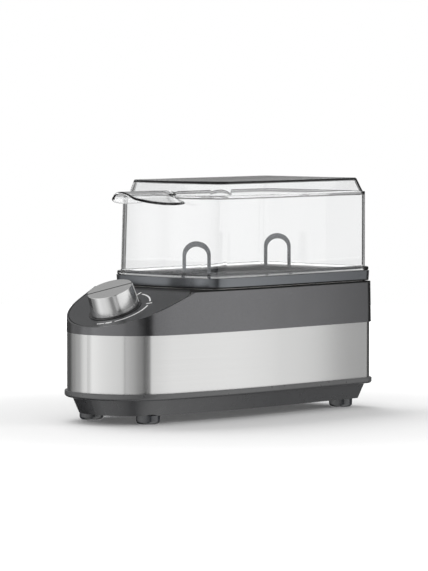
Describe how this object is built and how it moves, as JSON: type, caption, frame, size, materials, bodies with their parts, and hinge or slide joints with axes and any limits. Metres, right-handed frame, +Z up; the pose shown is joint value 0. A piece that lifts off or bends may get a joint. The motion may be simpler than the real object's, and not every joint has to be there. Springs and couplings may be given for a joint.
{
  "type": "small electric egg boiler",
  "caption": "Small electric steam boiler with a metal band, sloping nose with a turning knob, lift-out seat tray and clear lift-off lid.",
  "frame": {"origin": "middle of the footprint on the surface it stands on", "axes": "+X towards the cooking end and the cord gland, the nose with the knob at -X, +Z up"},
  "size_m": [0.2126, 0.0952, 0.1425],
  "materials": {
    "charcoal_plastic": "satin moulded charcoal plastic",
    "black_plastic": "satin black plastic",
    "brushed_band": "stainless sheet brushed along its length",
    "turned_metal": "turned and anodised",
    "clear_plastic": "clear polished plastic",
    "bowl_steel": "pressed stainless, satin",
    "foot_rubber": "soft dark rubber",
    "seal_silicone": "soft grey silicone",
    "pale_print": "printed pale marks",
    "spreader_metal": "sawn plate",
    "element_steel": "oxidised tube",
    "zinc_steel": "zinc-plated steel",
    "switch_plastic": "glossy grey moulding",
    "thermostat_metal": "pressed can",
    "board_laminate": "green lacquered laminate",
    "relay_plastic": "glossy blue case",
    "capacitor_metal": "sleeved can",
    "terminal_plastic": "green terminal body",
    "brown_insulation": "brown wire insulation",
    "green_insulation": "green wire insulation",
    "blue_insulation": "blue wire insulation",
    "white_insulation": "pale heat-proof sleeving"
  },
  "bodies": {
    "body": {"base_tray": "charcoal_plastic", "steel_band": "brushed_band", "cord_gland": "black_plastic", "upper_housing": "charcoal_plastic", "control_facia": "charcoal_plastic", "dial_marks": "pale_print", "knob_ring": "black_plastic", "rotary_control": "switch_plastic", "control_nut": "zinc_steel", "heating_bowl": "bowl_steel", "bowl_gasket": "seal_silicone", "heat_spreader": "spreader_metal", "heating_element": "element_steel", "element_straps": "zinc_steel", "strap_screws": "zinc_steel", "thermostat": "thermostat_metal", "fuse_clip": "black_plastic", "thermal_fuse": "zinc_steel", "control_board": "board_laminate", "board_screws": "zinc_steel", "board_relay": "relay_plastic", "buzzer": "black_plastic", "board_capacitors": "capacitor_metal", "terminal_block": "terminal_plastic", "base_screws": "zinc_steel", "lead_live": "brown_insulation", "lead_earth": "green_insulation", "lead_neutral": "blue_insulation", "element_lead_near": "white_insulation", "element_lead_far": "white_insulation", "foot_front_near": "foot_rubber", "foot_front_far": "foot_rubber", "foot_rear_near": "foot_rubber", "foot_rear_far": "foot_rubber"},
    "knob": {"knob_cap": "turned_metal", "knob_insert": "black_plastic", "knob_pointer": "pale_print", "control_shaft": "zinc_steel"},
    "tray": {"egg_tray": "black_plastic"},
    "lid": {"lid": "clear_plastic"}
  },
  "joints": [
    {"name": "knob_turn", "type": "hinge", "parent": "body", "child": "knob", "pos_m": [-0.0806, 0, 0.06715], "axis": [-0.3795, 0, 0.9252], "range_deg": [-122.5, 45.5]},
    {"name": "tray_lift", "type": "slide", "parent": "body", "child": "tray", "axis": [0, 0, 1], "range_m": [0, 0.04]},
    {"name": "lid_lift", "type": "slide", "parent": "tray", "child": "lid", "axis": [0, 0, 1], "range_m": [0, 0.06]}
  ]
}
